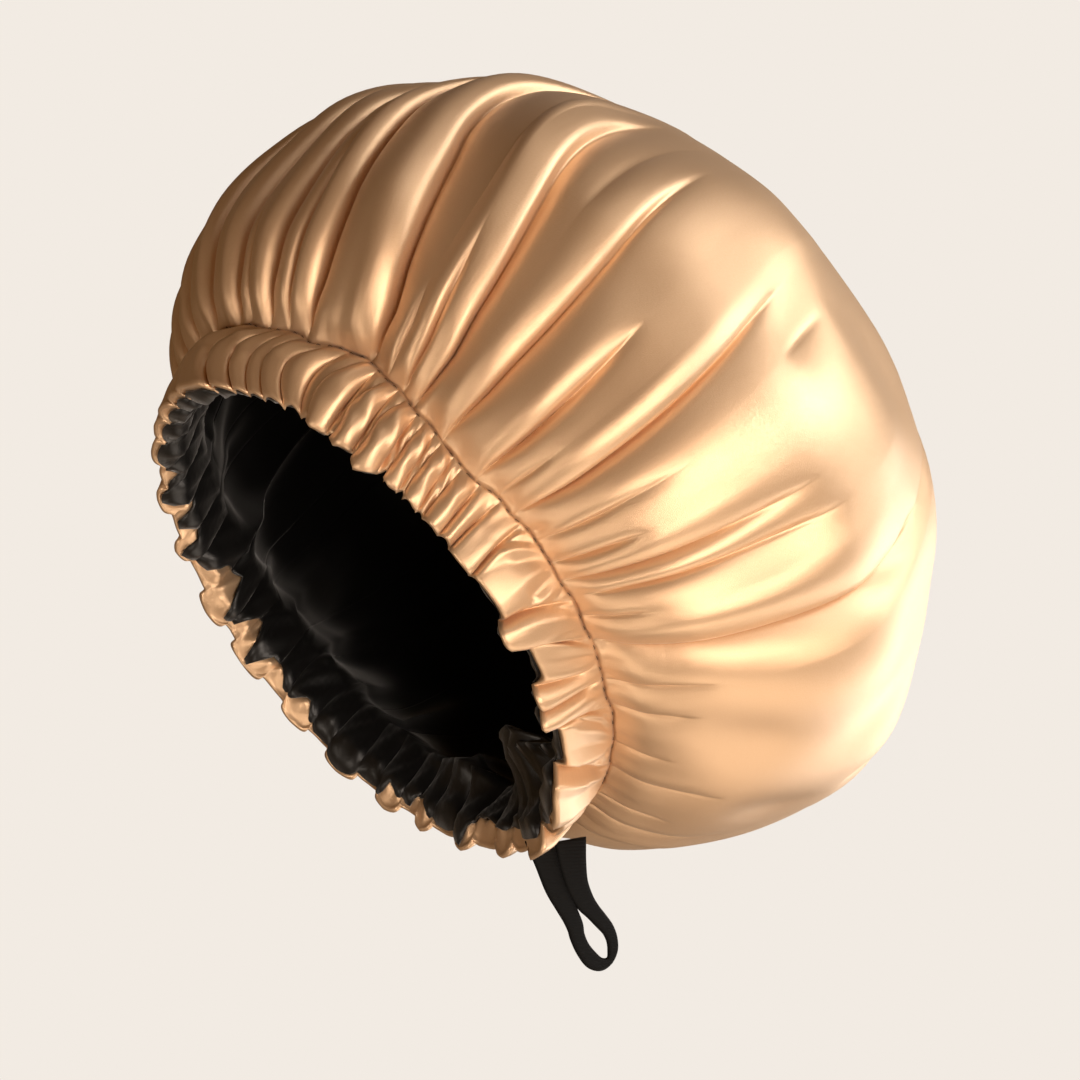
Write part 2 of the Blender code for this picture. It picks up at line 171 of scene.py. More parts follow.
# angle at the stitch, drift in degrees, where it starts and ends (shares of the way to the top),
# depth in mm, half width in mm, lap in mm (how far the cloth folds over it), taper (high ends abruptly)
CREASES = [
    (-42, 3, 0.00, 0.34, 7.0, 6.5, 0.4, 1.7),
    (-33, 5, 0.00, 0.46, 8.5, 6.5, 0.5, 1.7),
    (-24, 6, 0.00, 0.38, 8.5, 6.0, 0.5, 1.8),
    (-13, -2, 0.00, 0.52, 9.5, 6.8, 0.6, 1.9),
    (-2, -6, 0.00, 0.60, 10.0, 7.0, 0.7, 1.9),
    (3, -7, 0.00, 0.16, 2.6, 4.0, 0.4, 2.0),
    (9, -8, 0.00, 0.54, 9.5, 6.6, 0.7, 1.9),
    (15, -10, 0.00, 0.30, 4.4, 4.0, 0.6, 2.0),
    (20.5, -13.5, 0.00, 0.62, 10.5, 8.5, 0.9, 2.2),
    (35.5, -21, 0.00, 0.72, 12.5, 12.0, 1.0, 2.2),
    (41.5, -14, 0.01, 0.14, 3.6, 4.5, 0.6, 2.0),
    (45.5, -16, 0.00, 0.24, 6.0, 5.5, 1.0, 2.2),
    (49, -15, 0.00, 0.60, 10.5, 11.0, 2.6, 3.6),
    (52, -9, 0.33, 0.53, 3.0, 8.0, 0.7, 5.0),
    (57.5, -7, 0.00, 0.51, 7.3, 10.0, 1.2, 4.0),
    (67, -7, 0.00, 0.27, 8.0, 7.0, 1.2, 2.5),
    (72, -5, 0.00, 0.10, 3.2, 4.5, 0.5, 2.0),
    (76.5, -6, 0.00, 0.46, 8.5, 8.0, 1.8, 4.5),
    (81.5, -4, 0.39, 0.50, 4.5, 8.0, 1.0, 6.0),
    (83, -3, 0.00, 0.20, 3.7, 7.0, 0.5, 2.0),
    (88, 0, 0.00, 0.13, 5.5, 5.5, 1.0, 2.5),
    (92, 2, 0.00, 0.33, 8.5, 7.0, 1.3, 3.0),
    (95.5, 4.5, 0.02, 0.36, 4.9, 6.0, 0.9, 4.0),
    (100, 5.5, 0.00, 0.10, 3.7, 5.0, 0.5, 2.0),
    (106, 9, 0.00, 0.52, 14.5, 11.0, 2.8, 3.5),
    (115, 4, 0.00, 0.14, 4.9, 8.0, 0.8, 2.0),
    (122, 3, 0.00, 0.10, 4.3, 8.0, 0.5, 2.0),
    (133, 2, 0.00, 0.07, 3.0, 7.0, 0.3, 2.0),
    (142, 1, 0.00, 0.13, 4.9, 10.0, 0.8, 2.0),
    (149, 0, 0.30, 0.56, 6.5, 10.0, 1.2, 4.0),
    (153, -2, 0.00, 0.09, 3.7, 8.0, 0.4, 2.0),
    (161, 3, 0.00, 0.18, 5.5, 10.0, 0.8, 2.0),
    (172, -4, 0.00, 0.34, 7.3, 11.0, 1.2, 3.0),
    (185, 3, 0.00, 0.20, 5.5, 9.0, 0.8, 2.0),
    (198, 7, 0.00, 0.42, 8.5, 12.0, 1.5, 3.5),
    (207, 2, 0.00, 0.12, 4.3, 6.0, 0.5, 2.0),
    (216, -3, 0.00, 0.24, 6.1, 9.0, 1.0, 2.5),
    (227, 5, 0.00, 0.38, 7.9, 12.0, 1.3, 3.0),
    (238, 1, 0.00, 0.16, 4.9, 8.0, 0.6, 2.0),
    (249, -6, 0.00, 0.46, 9.2, 12.0, 1.6, 3.5),
    (260, 2, 0.00, 0.20, 5.5, 8.0, 0.8, 2.0),
    (267, 4, 0.00, 0.12, 4.3, 6.0, 0.5, 2.0),
    (277, 6, 0.00, 0.40, 7.9, 11.0, 1.3, 3.0),
    (290, -3, 0.00, 0.22, 6.1, 9.0, 0.9, 2.5),
    (298, 0, 0.00, 0.12, 4.3, 6.0, 0.5, 2.0),
    (306, 5, 0.00, 0.34, 7.3, 11.0, 1.2, 3.0),
]

# Soft hollows, and swells where the depth is negative, between the creases:
# angle, share of the way up, depth in mm, half length in mm, half width in mm, turn in degrees
DENTS = [
    (64, 0.16, -2.2, 24.0, 10.0, -10.0),
    (62, 0.31, 2.2, 16.0, 16.0, 0.0),
    (85, 0.36, -2.0, 34.0, 16.0, 0.0),
    (97, 0.24, 2.4, 26.0, 9.0, -8.0),
    (28, 0.20, -2.6, 20.0, 16.0, 0.0),
    (43, 0.42, -4.0, 60.0, 13.0, -8.0),
    (57, 0.42, -2.4, 40.0, 18.0, 0.0),
    (79, 0.44, 3.0, 16.0, 8.0, -25.0),
    (71, 0.56, -2.4, 26.0, 20.0, 20.0),
    (108, 0.40, 2.6, 16.0, 8.0, 20.0),
    (93, 0.60, 2.4, 34.0, 16.0, 40.0),
    (112, 0.62, -2.4, 30.0, 20.0, -30.0),
    (134, 0.38, 2.4, 20.0, 12.0, 10.0),
    (102, 0.46, 2.2, 34.0, 14.0, 10.0),
    (120, 0.30, -2.0, 34.0, 20.0, 0.0),
    (126, 0.46, 2.0, 34.0, 16.0, 30.0),
    (128, 0.16, 2.6, 20.0, 12.0, 30.0),
    (141, 0.34, -3.0, 26.0, 16.0, -20.0),
    (150, 0.20, 3.0, 18.0, 12.0, 40.0),
    (150, 0.52, 3.0, 30.0, 16.0, 15.0),
    (166, 0.36, -2.5, 24.0, 14.0, -30.0),
    (154, 0.40, -2.0, 34.0, 20.0, 0.0),
    (12, 0.42, 1.8, 30.0, 12.0, -10.0),
    (190, 0.50, 3.0, 30.0, 14.0, 20.0),
    (210, 0.34, -2.0, 34.0, 18.0, 0.0),
    (236, 0.46, 3.0, 28.0, 14.0, -20.0),
    (262, 0.34, -2.0, 34.0, 18.0, 0.0),
    (292, 0.44, 2.6, 28.0, 14.0, 15.0),
    (335, 0.40, 2.5, 26.0, 12.0, 0.0),
]

# Waver of the stitch line: angle, mm toward the crown
STITCH_WAVER = [
    (-30, 0), (8, -1.5), (14, -0.8), (22, -1.6), (29, 1.0), (34, 2.6), (39, 2.0), (45, 0.4), (51, -2.4),
    (57, -3.0), (64, -4.2), (69, -3.6), (73, -1.6), (80, -0.2), (97, 0.2), (102, 0.8), (116, -0.4),
    (123, 0.4), (142, 0.2), (170, -0.8), (185, 0.8), (215, -0.8), (250, 0.8), (290, -0.8),
]
WAVER_FADE = 0.05                   # share of the way up in which the waver fades

SLIT = 0.20                         # a crease's dark slit, as a share of its depth
SWELL = 0.14                        # the roll of cloth beside it, as a share of its depth
DRIFT_SPAN = 0.55                   # share of the way up in which the creases drift aside
FINE_GATHER = 0.00030               # height of the gathers that run a little way up
PUCKER = 0.00070                    # height of the puckers right at the stitch
SLOW_WAVE = 0.0014                  # height of the slow waves over the whole crown


def smooth_step(value):
    """From 0 to 1 with a soft start and end."""
    value = np.clip(value, 0.0, 1.0)
    return value * value * (3.0 - 2.0 * value)


def turn_between(angle, place):
    """Degrees from a place round the ring to an angle, -180 to 180."""
    return (angle - place + 180.0) % 360.0 - 180.0


def mm_beside(angle, place, radius):
    """Millimetres along the ring from a place to an angle."""
    return np.radians(turn_between(angle, place)) * radius * 1000


def patch(angle, share, radius, place, up, length, width, turn):
    """Where points lie in a turned oval patch, along it and across it; its edge is at 1."""
    across = mm_beside(angle, place, radius)
    along = (share - up) * WAY[-1] * 1000
    t = np.radians(turn)
    u = (along * np.cos(t) + across * np.sin(t)) / length
    v = (-along * np.sin(t) + across * np.cos(t)) / width
    return u, v


def hermite(knots, values, at):
    """Smooth curve through the values at the knots."""
    at = np.clip(at, knots[0], knots[-1])
    slopes = np.gradient(values, knots)
    i = np.clip(np.searchsorted(knots, at, side="right") - 1, 0, len(knots) - 2)
    span = knots[i + 1] - knots[i]
    t = (at - knots[i]) / span
    return (
        values[i] * (1 + 2 * t) * (1 - t) ** 2
        + slopes[i] * span * t * (1 - t) ** 2
        + values[i + 1] * t * t * (3 - 2 * t)
        + slopes[i + 1] * span * t * t * (t - 1)
    )


# The outline in metres: height above the hem plane, radius, and way along it from the stitch
outline = np.array(CROWN_OUTLINE)
HEIGHT = CASING_WIDTH + outline[:, 0] * (DEPTH - CASING_WIDTH)
RADIUS = outline[:, 1] * CROWN_DIAMETER / 2
RADIUS[0] = STITCH_DIAMETER / 2
WAY = np.r_[0.0, np.cumsum(np.hypot(np.diff(HEIGHT), np.diff(RADIUS)))]


def drift_of_centre(height):
    """How far forward the middle of the ring at a height lies."""
    in_casing = CASING_SLANT * np.clip(height / CASING_WIDTH, 0, 1)
    share = np.clip((height - CASING_WIDTH) / (DRIFT_END * DEPTH), 0, 1)
    return in_casing - NAPE_DRIFT * np.sin(share * np.pi / 2)


def at_ring(angle, radius, height):
    """Points at angles in degrees, radii and heights above the hem plane."""
    angle, radius, height = np.broadcast_arrays(np.radians(angle), radius, height)
    forward = drift_of_centre(height) + radius * np.cos(angle)
    side = radius * np.sin(angle)
    return forward[..., None] * FORWARD + side[..., None] * SIDE + height[..., None] * CROWNWARD


def crease_run(share, start, end, taper):
    """How strong a crease is on its way up: it starts at the stitch or above, and fades out."""
    rise = np.minimum(np.clip(share - start, 0.0, 1.0) / 0.08, 1.0) ** 0.6
    return rise * np.clip(1.0 - (share / end) ** taper, 0.0, 1.0) ** 1.2


def crease_relief(angle, share, soften):
    """Metres that the cloth stands out from its outline, below 0 in a crease; soften rounds
    the creases off."""
    radius = hermite(WAY, RADIUS, share * WAY[-1])
    total = np.zeros(np.broadcast_shapes(angle.shape, share.shape))
    for place, _, start, end, depth, width, _, taper in CREASES:
        off = mm_beside(angle, place, radius)
        spread = width * (0.5 + 0.9 * np.minimum(share / 0.35, 1.0))
        edge = (0.9 + 3.0 * share) * soften
        beyond = np.exp(-np.sqrt((off / spread) ** 2 + 0.01) ** 1.15)
        wall = np.exp(-np.sqrt((off / edge) ** 2 + 0.04))
        slit = SLIT * np.exp(-(off / (0.45 * edge)) ** 2) / soften ** 2
        swell = np.exp(-((off + 0.75 * spread) / (0.62 * spread)) ** 2)
        notch = np.where(off > 0, 0.75 * beyond + 0.25 * wall, 0.70 * wall + 0.30 * beyond ** 2)
        total -= depth * crease_run(share, start, end, taper) * (notch + slit - SWELL * swell)
    for place, up, depth, length, width, turn in DENTS:
        u, v = patch(angle, share, radius, place, up, length, width, turn)
        total -= depth * np.exp(-(u ** 2) - v ** 2)
    return total / 1000


def crease_lap(angle, share):
    """Degrees that the cloth beside a crease is pushed over it."""
    radius = hermite(WAY, RADIUS, share * WAY[-1])
    total = np.zeros(np.broadcast_shapes(angle.shape, share.shape))
    for place, _, start, end, _, _, lap, taper in CREASES:
        off = mm_beside(angle, place, radius)
        edge = 0.9 + 3.0 * share
        push = 1.25 * lap * np.exp(-((off + 1.4 * edge) / (1.1 * edge)) ** 2)
        total += np.degrees(push * crease_run(share, start, end, taper) / (radius * 1000 + 1.0))
    return total


def gather_relief(angle, share):
    """Fine gathers that fade out a few centimetres from the stitch, and slow waves above them."""
    a = np.radians(angle)
    wave = (
        np.sin(47 * a + 1.3 * np.sin(5 * a))
        + 0.7 * np.sin(71 * a + 1.1 * np.sin(7 * a + 1.0))
        + 0.5 * np.sin(29 * a + 0.8 * np.sin(3 * a + 2.0))
    )
    near = np.minimum(share / 0.012, 1.0) * np.exp(-share / 0.035)
    slow = np.sin(5 * a + 9 * share + 1.0) * np.sin(13 * share + 2 * a) + 0.6 * np.sin(11 * a - 7 * share)
    far = smooth_step(share / 0.2) * (1.0 - smooth_step((share - 0.6) / 0.35))
    pucker = np.minimum(share / 0.006, 1.0) * np.exp(-share / 0.020) * (0.6 + 0.4 * np.sin(9 * a + 2.0))
    puckers = np.sin(97 * a + 2 * np.sin(13 * a))
    return FINE_GATHER * wave * near + PUCKER * puckers * pucker + SLOW_WAVE * slow * far


def crease_turn(angle, share):
    """Degrees that the columns lean, to follow the creases as these drift aside."""
    places = np.array([row[0] for row in CREASES], float)
    drifts = np.array([row[1] for row in CREASES], float)
    return np.interp(angle, places, drifts, period=360.0) * smooth_step(share / DRIFT_SPAN)


def waver(angle):
    """Metres that the stitch line strays toward the crown."""
    table = np.array(STITCH_WAVER, float)
    a = np.radians(angle)
    small = 0.45 * np.sin(23 * a + 1.5 * np.sin(4 * a)) + 0.3 * np.sin(41 * a + 1.0)
    return (np.interp(angle, table[:, 0], table[:, 1], period=360.0) + small) / 1000


def crown_points(angle, share, inward, soften=1.0):
    """The creased crown, moved in from its outline by a thickness."""
    step = 0.0005                   # half the length over which the outline's slope is taken
    way = share * WAY[-1]
    height, radius = hermite(WAY, HEIGHT, way), hermite(WAY, RADIUS, way)
    low, high = np.maximum(way - step, 0.0), way + step
    dh = hermite(WAY, HEIGHT, high) - hermite(WAY, HEIGHT, low)
    dr = hermite(WAY, RADIUS, high) - hermite(WAY, RADIUS, low)
    length = np.hypot(dh, dr) + 1e-12
    out = crease_relief(angle, share, soften) + gather_relief(angle, share) - inward
    turned = angle + crease_turn(angle, share) + crease_lap(angle, share)
    height = height - out * dr / length + waver(turned) * np.exp(-share / WAVER_FADE)
    return at_ring(turned, radius + out * dh / length, height)


def ring_sheet(name, points, flat_uv, top=None):
    """Mesh of rings of points, with a UV map in metres of flat cloth; top closes it with a pole."""
    rows, columns = points.shape[:2]
    verts = points.reshape(-1, 3)
    i, j = np.meshgrid(np.arange(rows - 1), np.arange(columns), indexing="ij")
    k = (j + 1) % columns
    quads = np.stack([i * columns + j, i * columns + k, (i + 1) * columns + k, (i + 1) * columns + j], -1)
    faces = quads.reshape(-1, 4).tolist()
    uv = flat_uv.reshape(-1, 2)
    if top is not None:
        last = (rows - 1) * columns
        faces += [(last + a, last + (a + 1) % columns, len(verts)) for a in range(columns)]
        verts = np.vstack([verts, top])
        uv = np.vstack([uv, (0.0, 0.0)])
    sheet = new_piece(name, verts.tolist(), faces)
    layer = sheet.data.uv_layers.new(name="cloth")
    corners = np.zeros(len(sheet.data.loops), np.int32)
    sheet.data.loops.foreach_get("vertex_index", corners)
    layer.data.foreach_set("uv", uv[corners].astype(np.float32).ravel())
    return sheet


def pick(piece):
    """Select one piece alone, for the operators."""
    bpy.ops.object.select_all(action="DESELECT")
    piece.select_set(True)
    bpy.context.view_layer.objects.active = piece


def thicken(sheet, thickness):
    """Give a sheet its thickness, inward from its face, and apply it."""
    modifier = sheet.modifiers.new("thickness", "SOLIDIFY")
    modifier.thickness = thickness
    modifier.offset = -1.0
    pick(sheet)
    bpy.ops.object.modifier_apply(modifier=modifier.name)


def satin_group():
    """Woven satin: fine slubs and a diagonal weave, from the cloth's own flat coordinates."""
    group = bpy.data.node_groups.new("satin_weave", "ShaderNodeTree")
    face = group.interface
    face.new_socket("Colour", in_out="INPUT", socket_type="NodeSocketColor")
    face.new_socket("Shade Colour", in_out="INPUT", socket_type="NodeSocketColor")
    face.new_socket("Roughness", in_out="INPUT", socket_type="NodeSocketFloat")
    face.new_socket("Relief", in_out="INPUT", socket_type="NodeSocketFloat")
    face.new_socket("Colour", in_out="OUTPUT", socket_type="NodeSocketColor")
    face.new_socket("Roughness", in_out="OUTPUT", socket_type="NodeSocketFloat")
    face.new_socket("Normal", in_out="OUTPUT", socket_type="NodeSocketVector")
    nodes, links = group.nodes, group.links
    given = nodes.new("NodeGroupInput")
    made = nodes.new("NodeGroupOutput")
    place = nodes.new("ShaderNodeUVMap")
    place.uv_map = "cloth"
    stretch = nodes.new("ShaderNodeMapping")
    stretch.inputs["Scale"].default_value = (1.0, 7.0, 1.0)
    stretch.inputs["Rotation"].default_value = (0.0, 0.0, np.radians(35.0))
    links.new(place.outputs["UV"], stretch.inputs["Vector"])
    slub = nodes.new("ShaderNodeTexNoise")
    slub.inputs["Scale"].default_value = 900.0
    slub.inputs["Detail"].default_value = 3.0
    links.new(stretch.outputs["Vector"], slub.inputs["Vector"])
    ripple = nodes.new("ShaderNodeTexNoise")
    ripple.inputs["Scale"].default_value = 45.0
    ripple.inputs["Detail"].default_value = 2.0
    links.new(place.outputs["UV"], ripple.inputs["Vector"])
    tint = nodes.new("ShaderNodeMix")
    tint.data_type = "RGBA"
    links.new(slub.outputs["Fac"], tint.inputs["Factor"])
    links.new(given.outputs["Shade Colour"], tint.inputs["A"])
    links.new(given.outputs["Colour"], tint.inputs["B"])
    links.new(tint.outputs["Result"], made.inputs["Colour"])
    spread = nodes.new("ShaderNodeMath")
    spread.operation = "MULTIPLY_ADD"
    spread.inputs[1].default_value = 0.10
    links.new(slub.outputs["Fac"], spread.inputs[0])
    links.new(given.outputs["Roughness"], spread.inputs[2])
    links.new(spread.outputs["Value"], made.inputs["Roughness"])
    blend = nodes.new("ShaderNodeMath")
    blend.operation = "MULTIPLY_ADD"
    blend.inputs[1].default_value = 0.35
    links.new(ripple.outputs["Fac"], blend.inputs[0])
    links.new(slub.outputs["Fac"], blend.inputs[2])
    bump = nodes.new("ShaderNodeBump")
    bump.inputs["Distance"].default_value = 0.0004
    links.new(given.outputs["Relief"], bump.inputs["Strength"])
    links.new(blend.outputs["Value"], bump.inputs["Height"])
    links.new(bump.outputs["Normal"], made.inputs["Normal"])
    return group


SATIN_WEAVE = satin_group()


def satin(name, colour, shade, roughness, relief, metallic, sheen):
    """A satin material: its own shader, with the shared weave feeding it."""
    material = bpy.data.materials.new(name)
    material.use_nodes = True
    nodes, links = material.node_tree.nodes, material.node_tree.links
    shader = nodes["Principled BSDF"]
    weave = nodes.new("ShaderNodeGroup")
    weave.node_tree = SATIN_WEAVE
    weave.inputs["Colour"].default_value = (*colour, 1.0)
    weave.inputs["Shade Colour"].default_value = (*shade, 1.0)
    weave.inputs["Roughness"].default_value = roughness
    weave.inputs["Relief"].default_value = relief
    links.new(weave.outputs["Colour"], shader.inputs["Base Color"])
    links.new(weave.outputs["Roughness"], shader.inputs["Roughness"])
    links.new(weave.outputs["Normal"], shader.inputs["Normal"])
    shader.inputs["Metallic"].default_value = metallic
    shader.inputs["Sheen Weight"].default_value = sheen
    shader.inputs["Sheen Roughness"].default_value = 0.4
    return material


gold_satin = satin("gold_satin", colour=(0.84, 0.585, 0.385), shade=(0.71, 0.455, 0.245),
                   roughness=0.315, relief=0.30, metallic=0.60, sheen=0.10)

CROWN_ROWS = 72
CROWN_ROWS_END = 0.993              # share of the way up of the last ring before the pole
CROWN_ROWS_BUNCH = 1.25             # above 1, the rings stand closer at the stitch
CROWN_COLUMNS = 400                 # even columns, left out where a crease has its own
CREASE_COLUMNS = (-1.6, -1.1, -0.75, -0.5, -0.3, -0.15, 0.0, 0.15, 0.4)     # degrees beside each crease
COLUMN_ROOM = 0.35                  # degrees that an even column keeps from a crease's
COLUMN_GAP = 0.03                   # columns nearer than this to the next are left out


def disc_uv(reach, angle):
    """Places on the flat disc, in metres."""
    return np.stack([reach * np.cos(np.radians(angle)), reach * np.sin(np.radians(angle))], -1)


own = [row[0] + step for row in CREASES for step in CREASE_COLUMNS]
turns = own + [even for even in np.arange(CROWN_COLUMNS) * 360.0 / CROWN_COLUMNS
               if min(abs(turn_between(even, other)) for other in own) > COLUMN_ROOM]
turns = np.array(sorted(turn % 360.0 for turn in turns))
turns = turns[np.diff(np.append(turns, turns[0] + 360.0)) > COLUMN_GAP]
shares = CROWN_ROWS_END * np.linspace(0.0, 1.0, CROWN_ROWS) ** CROWN_ROWS_BUNCH
angle, share = np.meshgrid(turns, shares)
points = crown_points(angle, share, 0.0)
flat = disc_uv((1.0 - share) * DISC_DIAMETER / 2, angle)
crown = ring_sheet("crown_satin", points, flat, at_ring(0.0, 0.0, DEPTH))
crown.data.materials.append(gold_satin)
thicken(crown, SATIN)
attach(crown, "root")
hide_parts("crown")

# Casing
# The same satin folded over the elastic and gathered to some half of its length: plump pads with
# tucks between them at the forehead, a crumpled knot beside them, flat folded pieces on the near
# side. The hem turns under, so gold shows inside the far rim, where the lining is sewn to it.

CLOTH_ROUND = 0.19                  # metres of the weave's pattern for each radian round the ring
PAD_SHOULDER = 3.4                  # mm from a tuck to the full height of a plump pad
FOLD_SHOULDER = 2.0                 # the same, for the flat pieces
FOLDED_SIDE = (58, 12, 158, 12)     # degrees: the flat pieces begin, over, and end, over
KNOTTED_SIDE = (34, 6, 60, 8)       # the same, for the crumpled knot
PLEAT = 0.8                         # mm, height of the small pleats on a plump pad
PLEAT_WIDTH = 4.0                   # degrees that one of them takes
FAN = 1.5                           # mm, height of the pleats that fan out on a flat piece
KNOT = 1.8                          # mm, height of the loops in the crumpled knot
CRUMPLE = 0.9                       # mm, height of the crumples inside, behind the elastic
# Inside the satin, layer 1 is the turned hem and 2 the lining: mm inward at the hem,
# mm inward behind the elastic, mm that it bulges there
INNER_LAYERS = {1: (1.5, 3.6, 2.0), 2: (2.1, 4.2, 2.6)}
UNDER_ROWS = 10                     # rows of the turned hem
CASING_ROWS = 20                    # rows from the hem to the stitch

# A tuck's angle at the hem, half way and at the stitch, then for the pad after it:
# height in mm, drop of its hem in mm, overhang of its flanks
TUCKS = [
    (-38, -36, -33, 6.0, 1.5, 0.15), (-29, -28, -24, 6.5, 2.2, 0.15), (-20, -22, -13, 7.5, 2.6, 0.17),
    (-12, -14, -2, 8.5, 4.0, 0.19), (1, -4, 7, 8.0, 3.2, 0.19), (8, 3, 11, 6.5, 1.8, 0.17),
    (13, 9, 15, 6.5, 1.0, 0.17), (18, 14, 20.5, 7.0, 0.4, 0.19), (24, 20, 26, 7.0, -0.8, 0.18),
    (29, 27, 31, 5.5, -0.8, 0.16), (32, 31, 35.5, 9.5, 5.4, 0.26), (36.5, 37, 38.5, 5.0, -1.0, 0.12),
    (39, 39, 41.5, 10.5, 6.0, 0.30), (43.5, 43.5, 44.5, 6.5, -0.5, 0.18), (46, 45.5, 47, 12.0, 9.5, 0.32),
    (50.5, 50, 50.5, 3.5, -7.0, 0.08), (52.8, 52.6, 52.6, 10.5, 3.6, 0.32), (56, 55.6, 55.4, 5.5, -4.2, 0.14),
    (58, 57.6, 57.6, 10.5, 2.0, 0.30), (61.5, 61, 61, 5.0, -1.4, 0.12), (63.5, 63.4, 63.6, 7.0, 2.4, 0.18),
    (68, 68, 68, 5.5, 0.6, 0.14), (71.5, 72, 73, 6.0, 2.6, 0.16), (78, 78, 79, 6.0, 1.0, 0.12),
    (89, 92, 97, 6.4, 6.0, 0.15), (95, 100, 106, 5.0, -2.4, 0.11), (105, 109, 112, 4.4, 3.6, 0.13),
    (110.5, 113, 115, 5.6, 6.2, 0.15), (115, 118, 123, 4.8, -1.2, 0.12), (127, 134, 142, 7.0, 7.6, 0.16),
    (142, 148, 153, 5.8, 0.6, 0.14), (153, 157, 161, 6.5, 6.4, 0.16), (162, 166, 168, 5.2, 1.0, 0.15),
    (171, 173, 175, 5.4, 3.8, 0.17), (178, 180, 182, 4.2, -0.4, 0.13), (187, 188, 188, 5.0, 4.2, 0.18),
    (193, 195, 196, 4.0, -0.6, 0.12), (201, 202, 203, 5.0, 3.8, 0.18), (206, 207, 208, 3.0, -1.4, 0.12),
    (211, 212, 213, 5.0, 3.2, 0.18), (218, 219, 220, 3.2, -0.8, 0.12), (224, 225, 226, 4.6, 3.0, 0.17),
    (233, 233, 233, 3.0, -1.0, 0.12), (239, 239, 238, 4.0, 2.2, 0.16), (247, 248, 247, 2.6, -1.0, 0.12),
    (254, 253, 253, 4.0, 2.4, 0.18), (264, 263, 262, 2.6, -1.4, 0.12), (268, 268, 268, 4.6, 2.8, 0.18),
    (277, 276, 276, 2.8, -1.2, 0.12), (285, 285, 285, 4.8, 3.0, 0.18), (291, 291, 291, 2.8, -1.0, 0.12),
    (298, 299, 299, 5.0, 2.6, 0.17), (306, 307, 307, 3.4, -0.4, 0.13), (313, 315, 316, 5.4, 2.0, 0.16),
]
# How far up the inside the turned hem shows: angle, mm
TURN_UNDER = [
    (-30, 3), (0, 3), (150, 3), (186, 7), (190, 2), (200, 2), (205, 8), (209, 1.5), (214, 7), (218, 1.5),
    (238, 1.5), (242, 9), (248, 3), (255, 9), (258, 2), (261, 3), (264, 13), (267, 3), (270, 4), (274, 16),
    (278, 13), (281, 4), (288, 1.5), (291, 8), (293, 1.5), (296, 2), (298, 10), (301, 2), (306, 1.5),
    (309, 6), (312, 2),
]

# Each column's pad, and its place across it from 0 to 1, closer together beside the tucks
tucks = np.array(TUCKS, float)
cells = len(tucks)
cell_widths = np.diff(np.append(tucks[:, 1], tucks[0, 1] + 360.0))
cell_of, phase_of = [], []
for cell, width in enumerate(cell_widths):
    count = 2 * int(max(8, round(1.5 * width)))
    even = np.arange(count) / count
    cell_of += [cell] * count
    phase_of += list(0.45 * even + 0.55 * (0.5 - 0.5 * np.cos(np.pi * even)))
cell_of, phase_of = np.array(cell_of), np.array(phase_of)


def neck_radius(height):
    """Radius of the casing's ring at a height above the hem."""
    share = height / CASING_WIDTH
    return (HEM_DIAMETER + (STITCH_DIAMETER - HEM_DIAMETER) * share) / 2


def tuck_angle(index, along):
    """Angle of a tuck at a share of the casing's width; the tuck after the last is the first."""
    hem, middle, stitch = (tucks[index % cells, k] + 360.0 * (index >= cells) for k in (0, 1, 2))
    return (hem * (1 - along) * (1 - 2 * along) + 4 * middle * along * (1 - along)
            + stitch * along * (2 * along - 1))


def on_side(angle, side):
    """1 on a side of the ring, given as in FOLDED_SIDE, and 0 off it."""
    begin, fade_in, end, fade_out = side
    return smooth_step((angle - begin) / fade_in) * (1 - smooth_step((angle - end) / fade_out))


